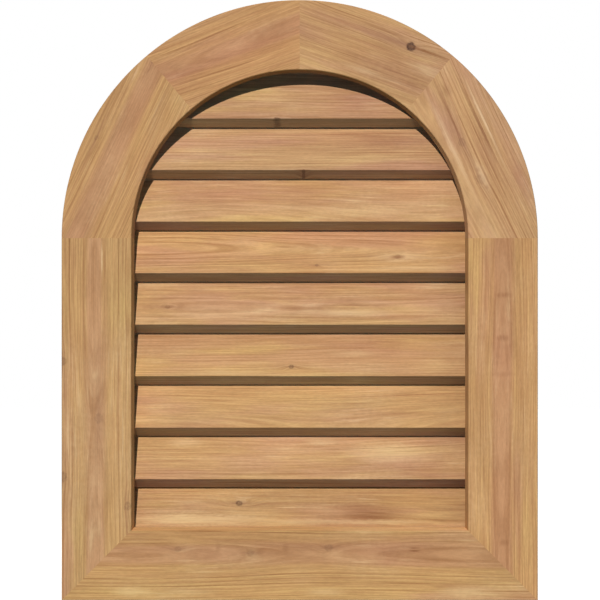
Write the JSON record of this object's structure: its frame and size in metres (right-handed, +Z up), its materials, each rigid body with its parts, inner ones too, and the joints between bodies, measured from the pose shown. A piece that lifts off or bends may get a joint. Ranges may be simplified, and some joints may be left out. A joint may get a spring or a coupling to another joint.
{
  "type": "round-top wooden gable vent",
  "caption": "Round-top louvred wooden gable vent: splayed flat face boards on a shallow box, fixed sloping louvers and an insect screen behind.",
  "frame": {"origin": "middle of the bottom rail's flat back, in the plane where the face boards meet the wall, on the centre line", "axes": "+Z up, +X to the right seen from the front, +Y into the wall, so the face looks along -Y"},
  "size_m": [0.6096, 0.1122, 0.7683],
  "materials": {
    "face_boards": "planed and sanded, unfinished softwood",
    "louver_boards": "planed and sanded, unfinished softwood",
    "box_boards": "planed, unfinished softwood",
    "screen_battens": "planed, unfinished softwood",
    "screen_cloth": "satin woven wire"
  },
  "bodies": {
    "root": {"face_stile_left": "face_boards", "face_stile_right": "face_boards", "face_rail_bottom": "face_boards", "face_arch_lower_left": "face_boards", "face_arch_upper_left": "face_boards", "face_arch_upper_right": "face_boards", "face_arch_lower_right": "face_boards", "jamb_left": "box_boards", "jamb_right": "box_boards", "jamb_sill": "box_boards", "jamb_head_left": "box_boards", "jamb_head_right": "box_boards", "louver_1": "louver_boards", "louver_2": "louver_boards", "louver_3": "louver_boards", "louver_4": "louver_boards", "louver_5": "louver_boards", "louver_6": "louver_boards", "louver_7": "louver_boards", "louver_8": "louver_boards", "louver_9": "louver_boards", "insect_screen": "screen_cloth", "batten_left": "screen_battens", "batten_right": "screen_battens", "batten_bottom": "screen_battens", "batten_arch_left": "screen_battens", "batten_arch_right": "screen_battens"}
  },
  "joints": []
}
